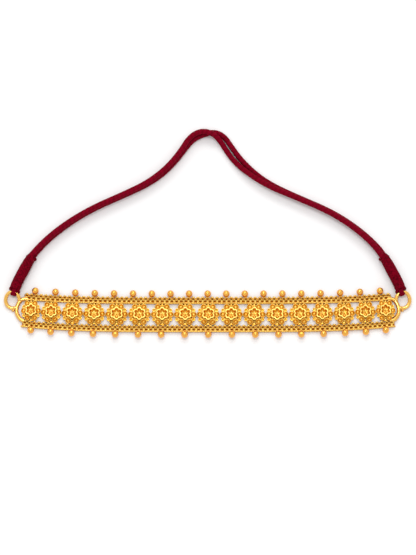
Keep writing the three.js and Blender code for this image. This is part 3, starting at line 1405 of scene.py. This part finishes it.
@dataclass
class WovenRail:
    """One rail on a thin backing strip: rings with granules, two rows of links, milled wire.

    Lengths without another unit are millimetres; across counts from the rail's own middle
    towards the cord.
    """

    band: Band
    rail: Rail
    half_length: float
    offset: float
    width: float
    shift: float  # along the band
    beads_each_side: int
    bead_pitch: float
    bead_stretch: float  # how much farther out the last bead lies than its pitch, as a share
    pitch: float = 2.85
    ring_radius: float = 1.02
    ring_wire: float = 0.4
    ring_height: float = 1.85
    ring_tilt: float = 10.0  # degrees, the side towards the wearer's chin lies lower
    # Distances across are shares of the rail's half width.
    ring_across: float = 0.235
    seed_across: float = -0.16
    seed_height: float = 2.0
    seed_profile: Profile = ((0.3, -0.35), (0.46, 0.0), (0.34, 0.3), (0.0, 0.42))
    joint_lead: float = 0.14  # from a granule to the joint between two rings
    joint_drop: float = 0.4
    link_profile: Profile = ((0.22, -0.84), (0.44, -0.6), (0.52, 0.0), (0.44, 0.6), (0.22, 0.84))
    link_across: float = -0.54
    link_height: float = 1.75
    crest_across: float = 0.74  # of the links along the outer edge
    crest_height: float = 1.6
    bump_profile: Profile = ((0.399, -0.42), (0.57, -0.126), (0.57, 0.126), (0.399, 0.42))
    bump_leads: tuple[float, float] = (-0.25, 0.25)  # of a cell's two bumps, as a share of it
    # name, gaps left at the two ends, across and height; the first wire is the milled one
    wires: Sequence[tuple[str, float, float, float, float]] = (
        ("lower", 0.2, 1.2, -0.83, 1.45),
        ("foot", 0.6, 0.3, -0.8, 0.62),
        ("back", 0.5, 0.6, 0.52, 0.62),
    )
    wire_radius: float = 0.42
    strip_gaps: tuple[float, float] = (0.9, 0.7)
    strip_half_width: float = 0.8
    strip_across: float = -0.14
    strip_height: float = 0.75
    bead_radius: float = 2.1
    bead_offset: float = 12.6
    bead_height: float = 2.8
    neck_offset: float = 9.8
    neck_height: float = 1.2
    # size against the rim before, and distance from the ball's middle in radii
    neck_rims: Profile = ((0.8, 1.05), (1.0, 1.3), (1.5, 1.45), (1.0, 1.6), (0.9, 1.8))
    neck_flatness: float = 0.2
    bend_steps: int = 72

    def guide(self) -> bpy.types.Object:
        """Draws the rail's middle line, along which straight work is bent.

        Returns:
            The line as a curve.
        """
        curve = bpy.data.curves.new("rail_line", "CURVE")
        curve.dimensions = "3D"
        curve.twist_mode = "Z_UP"
        spline = curve.splines.new("POLY")
        spline.points.add(self.bend_steps)
        for i, point in enumerate(spline.points):
            x = (self.half_length * (2 * i / self.bend_steps - 1) + self.shift) * MM
            point.co = (x, self.band.across(x, self.rail.value * self.offset * MM), 0, 1)
        line = bpy.data.objects.new("rail_line", curve)
        bpy.context.collection.objects.link(line)
        return line

    def bent(
        self, piece: bpy.types.Object, guide: bpy.types.Object, name: str
    ) -> bpy.types.Object:
        """Bends straight work that starts at X 0 along the rail's line.

        Args:
            piece: the straight work.
            guide: the rail's line.
            name: what the piece is, after the rail's own name.

        Returns:
            The same piece, bent.
        """
        only(piece)
        bend = piece.modifiers.new("bend", "CURVE")
        bend.object = guide
        bend.deform_axis = "POS_X"
        bpy.ops.object.modifier_apply(modifier=bend.name)
        piece.name = piece.data.name = f"{self.rail.label}_{name}"
        return piece

    def repeated(self, piece: bpy.types.Object, count: int) -> bpy.types.Object:
        """Repeats one cell along X at the weave's pitch.

        Args:
            piece: the cell.
            count: how many there are in the end.

        Returns:
            The same piece, as a row.
        """
        only(piece)
        row = piece.modifiers.new("row", "ARRAY")
        row.use_relative_offset = False
        row.use_constant_offset = True
        row.constant_offset_displace = (self.pitch * MM, 0, 0)
        row.count = count
        bpy.ops.object.modifier_apply(modifier=row.name)
        return piece

    def rod(
        self,
        name: str,
        gaps: tuple[float, float],
        size: tuple[float, float],
        place: tuple[float, float],
        sides: int,
    ) -> bpy.types.Object:
        """A straight rod along X, cut into short lengths so that it bends.

        Args:
            name: the piece's name.
            gaps: what it leaves free at the rail's two ends.
            size: its half width and half height.
            place: its middle across, as a share of the rail's half width, and its height.
            sides: number of sides.

        Returns:
            The rod.
        """
        length = (2 * self.half_length - sum(gaps)) * MM
        bpy.ops.object.select_all(action="DESELECT")
        bpy.ops.mesh.primitive_cylinder_add(
            vertices=sides,
            radius=1,
            depth=length,
            rotation=(0, math.pi / 2, 0),
            location=(0, 0, 0),
        )
        piece = bpy.context.object
        bpy.ops.object.transform_apply(rotation=True)
        with editing(piece):
            bpy.ops.mesh.select_mode(type="EDGE")
            mesh = bmesh.from_edit_mesh(piece.data)
            for edge in mesh.edges:
                first, last = (v.co for v in edge.verts)
                edge.select = abs(first.x - last.x) > length / 2
            mesh.select_flush_mode()
            bmesh.update_edit_mesh(piece.data)
            bpy.ops.mesh.subdivide(number_cuts=self.bend_steps)
            bpy.ops.mesh.select_all(action="SELECT")
            bpy.ops.transform.resize(
                value=(1, size[0] * MM, size[1] * MM), center_override=(0, 0, 0)
            )
            middle = (gaps[0] * MM + length / 2, place[0] * self.width / 2 * MM, place[1] * MM)
            bpy.ops.transform.translate(value=middle)
        return settle(piece, name)

    def weave(self, guide: bpy.types.Object) -> bpy.types.Object:
        """Weaves rings, granules, links and the bumps of the milled wire.

        Args:
            guide: the rail's line.

        Returns:
            The whole row of cells, bent along the line.
        """
        count = int(2 * self.half_length / self.pitch)
        first = self.half_length - self.pitch * (count - 1) / 2
        half = self.width / 2
        ring = spun_ring("ring", self.ring_radius * MM, self.ring_wire * MM, 12, 6)
        tilt = Matrix.Rotation(-math.radians(self.ring_tilt), 4, "X")
        ring.data.transform(moved(first, self.ring_across * half, self.ring_height) @ tilt)
        seed = turned("seed", self.seed_profile, 6)
        seed.data.transform(moved(first, self.seed_across * half, self.seed_height))
        to_joint = moved(self.pitch / 2, self.joint_lead * half, -self.joint_drop)
        joint = copied(seed, "joint", to_joint)
        link = turned("link", self.link_profile, 7)
        link.data.transform(moved(first, self.link_across * half, self.link_height) @ ALONG_X)
        rise = (self.crest_across - self.link_across) * half
        crest = copied(link, "crest", moved(0, rise, self.crest_height - self.link_height))
        bump = turned("bump", self.bump_profile, 7)
        _, _, _, edge, height = self.wires[0]
        bumps = [
            copied(bump, "bump", moved(first + lead * self.pitch, edge * half, height) @ ALONG_X)
            for lead in self.bump_leads
        ]
        discard(bump)
        cell = joined("cell", [ring, seed, joint, link, crest, *bumps])
        return self.bent(self.repeated(cell, count), guide, "weave")

    def borders(self, guide: bpy.types.Object) -> bpy.types.Object:
        """Lays the border wires.

        Args:
            guide: the rail's line.

        Returns:
            The wires as one piece.
        """
        size = (self.wire_radius, self.wire_radius)
        wires = [
            self.rod(name, (start, stop), size, (across, height), 8)
            for name, start, stop, across, height in self.wires
        ]
        return self.bent(joined("borders", wires), guide, "borders")

    def strip(self, guide: bpy.types.Object) -> bpy.types.Object:
        """Lays the backing strip that everything is soldered to.

        Args:
            guide: the rail's line.

        Returns:
            The strip.
        """
        thickness = self.strip_height / 2
        size = (self.strip_half_width * self.width / 2, thickness)
        strip = self.rod("strip", self.strip_gaps, size, (self.strip_across, thickness), 12)
        return self.bent(strip, guide, "strip")

    def bead_pattern(self) -> bpy.types.Object:
        """Draws a ball out into a short neck with a soldered collar.

        Returns:
            The bead at the origin, its neck along -Z.
        """
        radius = self.bead_radius * MM
        bpy.ops.object.select_all(action="DESELECT")
        bpy.ops.mesh.primitive_uv_sphere_add(segments=24, ring_count=16, radius=radius)
        piece = bpy.context.object
        with editing(piece):
            pick_faces(piece, lambda centre, normal: centre.z < -0.96 * radius)
            depth = radius
            for share, height in self.neck_rims:
                drop = (0, 0, depth - height * radius)
                depth = height * radius
                bpy.ops.mesh.extrude_region_move(TRANSFORM_OT_translate={"value": drop})
                bpy.ops.transform.resize(
                    value=(share, share, self.neck_flatness), center_override=(0, 0, -depth)
                )
        return settle(piece, "bead")

    def beads(self) -> bpy.types.Object:
        """Sets the row of beads along the rail's outer edge.

        Returns:
            The beads as one piece.
        """
        pattern = self.bead_pattern()
        side = self.rail.value * MM
        row = []
        for i in range(-self.beads_each_side, self.beads_each_side + 1):
            share = i / self.beads_each_side
            x = (i * self.bead_pitch * (1 + self.bead_stretch * share**2) + self.shift) * MM
            place, root = (
                Vector((x, self.band.across(x, side * offset), height * MM))
                for offset, height in (
                    (self.bead_offset, self.bead_height),
                    (self.neck_offset, self.neck_height),
                )
            )
            turn = (place - root).to_track_quat("Z", "Y").to_matrix().to_4x4()
            row.append(copied(pattern, "bead", Matrix.Translation(place) @ turn))
        discard(pattern)
        return joined(f"{self.rail.label}_beads", row)

    def build(self, dresser: Dresser) -> None:
        """Builds and dresses the whole rail.

        Args:
            dresser: gives the pieces their finish.
        """
        node = self.rail.label
        guide = self.guide()
        dresser.dress(self.weave(guide), WOVEN_GOLD, node)
        # The strip's dark gold is painted shade for the gaps of the rail.
        dresser.dress(self.strip(guide), GAP_SHADE_GOLD, node)
        dresser.dress(self.borders(guide), SATIN_GOLD, node)
        dresser.dress(self.beads(), BURNISHED_GOLD, node)
        discard(guide)


@dataclass
class Rosette:
    """A flower soldered up from a raised six-petalled heart, six cups and small leaves.

    All sizes are in millimetres. One petal of the heart points along +Y.
    """

    petals: int = 6
    plate_profile: Profile = ((4.8, 0.0), (5.0, 0.2), (5.0, 0.5), (4.8, 0.7))
    cup_orbits: Sequence[float] = (4.95, 5.28, 5.28, 4.95, 5.12, 5.12)  # from +X, turning to +Y
    cup_profile: Profile = (
        (1.15, 0.02),
        (1.62, 0.35),
        (1.9, 1.1),
        (1.98, 1.8),
        (1.9, 2.12),
        (1.7, 2.2),
        (1.46, 2.0),
        (1.22, 1.55),
        (0.98, 1.42),
        (0.78, 1.5),
        (0.5, 1.66),
        (0.0, 1.75),
    )
    leaf_orbit: float = 5.65
    leaf_profile: Profile = (
        (0.8, 0.02),
        (1.15, 0.4),
        (1.22, 1.0),
        (1.08, 1.5),
        (0.84, 1.52),
        (0.56, 1.3),
        (0.0, 1.2),
    )
    leaf_angles: Sequence[float] = (-30, 30, 150, 210)
    heart_tip: float = 4.15
    heart_notch: float = 3.05
    heart_shoulder: float = 3.95
    heart_foot: float = 0.9
    # share of the outline, height, further share at the notches
    heart_rims: Sequence[tuple[float, float, float]] = (
        (0.84, 1.3, 1.0),
        (0.93, 2.8, 1.0),
        (1.0, 4.0, 1.0),
        (1.03, 4.5, 1.0),
        (0.98, 4.78, 1.0),
        (0.86, 4.84, 0.96),
        (0.77, 4.68, 0.88),
        (0.72, 4.15, 0.9),
        (0.66, 3.3, 0.95),
        (0.55, 2.5, 1.0),
        (0.25, 2.3, 1.1),
    )
    # distance towards the top rail, height, radius; the first lies in the heart
    granules: Sequence[Point] = (
        (0.0, 3.3, 0.6),
        (4.35, 2.35, 0.62),
        (5.2, 1.2, 0.6),
        (-5.25, 1.1, 0.55),
        (-4.5, 1.5, 0.62),
    )
    # radius and height of its rims as shares of a granule's radius
    granule_profile: Profile = (
        (0.75, -0.8),
        (1.0, -0.15),
        (0.85, 0.5),
        (0.45, 0.88),
        (0.0, 1.0),
    )
    stem: tuple[float, float] = (0.5, 1.5)  # half width and height
    tab: tuple[float, float] = (2.6, 0.45)  # the wide thin foot under a stem
    bar_bevel: float = 0.12
    stem_from: float = 4.6
    reach: tuple[float, float] = (6.75, 6.35)  # where the stems meet the top and bottom rail

    def outline_place(self, point: Vector) -> int:
        """Tells a petal's tip (0) from a notch (2) and the shoulders between (1 and 3)."""
        step = 360 / (4 * self.petals)
        return round((math.degrees(math.atan2(point.y, point.x)) - 2 * step) / step) % 4

    def heart(self) -> bpy.types.Object:
        """Raises the inner flower: round petals with a thick lip round a hollow star.

        Returns:
            The heart at the origin.
        """
        tip, level = self.heart_tip * MM, self.heart_foot * MM
        bpy.ops.object.select_all(action="DESELECT")
        bpy.ops.mesh.primitive_circle_add(
            vertices=4 * self.petals, radius=tip, fill_type="NGON", location=(0, 0, level)
        )
        piece = bpy.context.object
        bpy.ops.object.transform_apply(location=True)

        def scaled(share: float) -> None:
            """Resizes what is selected about the flower's middle."""
            bpy.ops.transform.resize(value=(share, share, 1), center_override=(0, 0, 0))

        with editing(piece):
            for place, radius in zip((1, 2, 3), (self.heart_shoulder, self.heart_notch) * 2):
                pick_points(piece, lambda p, place=place: self.outline_place(p) == place)
                scaled(radius * MM / tip)
            bpy.ops.mesh.select_all(action="SELECT")
            before = 1.0
            for share, height, at_notch in self.heart_rims:
                bpy.ops.mesh.select_mode(type="FACE")
                raised = (0, 0, height * MM - level)
                bpy.ops.mesh.extrude_region_move(TRANSFORM_OT_translate={"value": raised})
                scaled(share / before)
                before, level = share, height * MM
                if at_notch != 1.0:
                    pick_points(
                        piece,
                        lambda p: abs(p.z - level) < MERGE_DISTANCE
                        and self.outline_place(p) == 2,
                    )
                    scaled(at_notch)
                    pick_faces(piece, lambda centre, _: abs(centre.z - level) < MERGE_DISTANCE)
            bpy.ops.mesh.merge(type="CENTER")
        smooth = piece.modifiers.new("round", "SUBSURF")
        smooth.levels = smooth.render_levels = 2
        only(piece)
        bpy.ops.object.modifier_apply(modifier=smooth.name)
        return settle(piece, "heart")

    def bar(self, near: float, far: float, size: tuple[float, float]) -> bpy.types.Object:
        """Cuts a flat bar with softened edges that lies along Y on the table.

        Args:
            near: Y of its end at the flower.
            far: Y of its end at the rail.
            size: its half width and its height.

        Returns:
            The bar.
        """
        half_width, height = size
        bpy.ops.object.select_all(action="DESELECT")
        bpy.ops.mesh.primitive_cube_add(
            size=1,
            location=Vector((0, (near + far) / 2, height / 2)) * MM,
            scale=Vector((2 * half_width, abs(far - near), height)) * MM,
        )
        piece = bpy.context.object
        bpy.ops.object.transform_apply(location=True, rotation=True, scale=True)
        with editing(piece):
            bpy.ops.mesh.select_all(action="SELECT")
            bpy.ops.mesh.bevel(offset=self.bar_bevel * MM, segments=2, affect="EDGES")
        return settle(piece, "bar")

    def pattern(self) -> bpy.types.Object:
        """Solders one whole flower.

        Returns:
            The flower at the origin.
        """
        parts = [turned("plate", self.plate_profile, 24), self.heart()]
        cup = turned("cup", self.cup_profile, 16)
        leaf = turned("leaf", self.leaf_profile, 12)
        places = [(cup, 360 * i / self.petals, r) for i, r in enumerate(self.cup_orbits)]
        places += [(leaf, degrees, self.leaf_orbit) for degrees in self.leaf_angles]
        for piece, degrees, orbit in places:
            turn = Matrix.Rotation(math.radians(degrees), 4, "Z")
            parts.append(copied(piece, piece.name, turn @ moved(orbit, 0, 0)))
        discard(cup, leaf)
        for y, z, radius in self.granules:
            rims = [(radius * r, radius * h) for r, h in self.granule_profile]
            granule = turned("granule", rims, 10)
            granule.data.transform(moved(0, y, z))
            parts.append(granule)
        for side, reach in zip((1, -1), self.reach):
            for size in (self.stem, self.tab):
                parts.append(self.bar(side * self.stem_from, side * reach, size))
        return joined("rosette", parts)

    def build(self, dresser: Dresser, band: Band, count: int = 17) -> None:
        """Places a copy of the flower on each flower node, as wide as the node is.

        Args:
            dresser: gives the flowers their finish.
            band: says where the band's middle runs.
            count: the number of flowers.
        """
        pattern = self.pattern()
        nodes = [f"flower_{i:02d}" for i in range(1, count + 1)]
        boxes = [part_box(node) for node in nodes]
        full = max(high.x - low.x for low, high in boxes)
        for node, (low, high) in zip(nodes, boxes):
            x = (high.x + low.x) / 2
            size = Matrix.Diagonal(((high.x - low.x) / full, band.fullness(x), 1, 1))
            placement = Matrix.Translation((x, band.middle(x), 0)) @ size
            rosette = copied(pattern, node.replace("flower", "rosette"), placement)
            dresser.dress(rosette, SATIN_GOLD, node)
        discard(pattern)


@dataclass
class EndFitting:
    """The D-shaped bow that closes one end of the band, and its open ring.

    All sizes are in millimetres, on the right-hand end.
    """

    bow_radius: float = 1.22  # of the wire
    bow_height: float = 1.24
    bow_route: Sequence[tuple[float, float]] = (
        (107.6, 8.6),
        (108.9, 8.85),
        (110.4, 8.75),
        (112.0, 7.95),
        (112.95, 6.6),
        (113.7, 5.1),
        (114.2, 3.4),
        (114.35, 1.45),
        (114.15, -0.1),
        (113.55, -1.4),
        (112.8, -2.6),
        (111.8, -3.8),
        (110.0, -4.7),
    )
    ring_centre: tuple[float, float] = (116.85, 8.0)
    ring_radii: tuple[float, float] = (4.05, 4.85)
    ring_radius: float = 1.1  # of the wire
    ring_from: float = -105  # degrees, at the solder lump
    ring_to: float = 185
    ring_steps: int = 30
    ring_low: float = 1.35
    ring_high: float = 3.0
    grains: Sequence[tuple[float, float, float, float]] = (
        (116.35, 3.5, 2.2, 0.62),  # X, Y, height and radius of the grains at the joint
        (116.5, 1.9, 0.85, 0.85),
    )
    grain_spread: float = 1.08  # how much wider solder draws a grain's lower half
    lump_radius: float = 1.15
    wire_sides: int = 10

    def ring_point(self, share: float) -> Point:
        """Works out the open ring's middle.

        Args:
            share: a place along the ring, from 0 at the solder lump to 1.

        Returns:
            The point there.
        """
        angle = math.radians(self.ring_from + (self.ring_to - self.ring_from) * share)
        climb = (self.ring_high - self.ring_low) * (0.5 + 0.5 * math.sin(angle))
        return (
            self.ring_centre[0] + self.ring_radii[0] * math.cos(angle),
            self.ring_centre[1] + self.ring_radii[1] * math.sin(angle),
            self.ring_low + climb,
        )

    def ball(self, radius: float) -> bpy.types.Object:
        """Adds a plain ball at the origin, to be shaped.

        Args:
            radius: its radius.

        Returns:
            The ball.
        """
        bpy.ops.object.select_all(action="DESELECT")
        bpy.ops.mesh.primitive_uv_sphere_add(segments=16, ring_count=10, radius=radius * MM)
        return bpy.context.object

    def lump(self) -> bpy.types.Object:
        """Shapes the solder where the ring is closed against the bow.

        Returns:
            The lump, drawn out towards the bow.
        """
        x, y, _ = self.ring_point(0)
        radius = self.lump_radius
        piece = self.ball(radius)
        with editing(piece):
            pick_faces(piece, lambda centre, _: centre.x < -0.4 * radius * MM)
            bpy.ops.transform.translate(value=(-0.5 * radius * MM, 0.15 * radius * MM, 0))
        piece.data.transform(moved(x - 0.4 * radius, y, radius))
        return settle(piece, "lump")

    def grain(self, x: float, y: float, z: float, radius: float) -> bpy.types.Object:
        """Shapes one grain of gold at the joint.

        Args:
            x: its place along the band.
            y: its place towards the cord.
            z: its height.
            radius: its radius.

        Returns:
            The grain, a little wider below.
        """
        piece = self.ball(radius)
        with editing(piece):
            pick_points(piece, lambda p: p.z < 0)
            spread = (self.grain_spread, self.grain_spread, 1)
            bpy.ops.transform.resize(value=spread, center_override=(0, 0, 0))
        piece.data.transform(moved(x, y, z))
        return settle(piece, "grain")

    def build(self, dresser: Dresser, end: End) -> None:
        """Builds one end's bow with its ring.

        Args:
            dresser: gives it its finish.
            end: which end of the band.
        """
        bow = [(x, y, self.bow_height) for x, y in self.bow_route]
        ring = [self.ring_point(i / self.ring_steps) for i in range(self.ring_steps + 1)]
        parts = [
            drawn_wire("bow", bow, self.bow_radius, self.wire_sides),
            drawn_wire("ring", ring, self.ring_radius, self.wire_sides),
            self.lump(),
            *(self.grain(*grain) for grain in self.grains),
        ]
        whole = joined("fitting", parts)
        mirror = Matrix.Diagonal((end.value, 1, 1, 1))
        fitting = copied(whole, f"{end.label}_bow_and_ring", mirror)
        discard(whole)
        dresser.dress(fitting, WIRE_GOLD, f"{end.label}_end_bow")


# ---- assembly ----


def main() -> None:
    logging.basicConfig(level=logging.INFO, format="%(name)s: %(message)s")
    studio = Studio()
    studio.place_camera()
    dresser = Dresser()
    cord = CordPair()
    binding = Binding()
    strands = cord.build(dresser)
    bindings = [piece for end in End for piece in binding.build(dresser, end)]
    band = Band()
    top_rail = WovenRail(
        band,
        Rail.TOP,
        half_length=110.4,
        offset=8.95,
        width=4.5,
        shift=0.0,
        beads_each_side=9,
        bead_pitch=11.1,
        bead_stretch=0.033,
    )
    bottom_rail = WovenRail(
        band,
        Rail.BOTTOM,
        half_length=112.2,
        offset=8.45,
        width=4.35,
        shift=0.35,
        beads_each_side=8,
        bead_pitch=14.1,
        bead_stretch=-0.06,
    )
    top_rail.build(dresser)
    bottom_rail.build(dresser)
    Rosette().build(dresser, band)
    for end in End:
        EndFitting().build(dresser, end)
    studio.build()


if __name__ == "__main__":
    main()
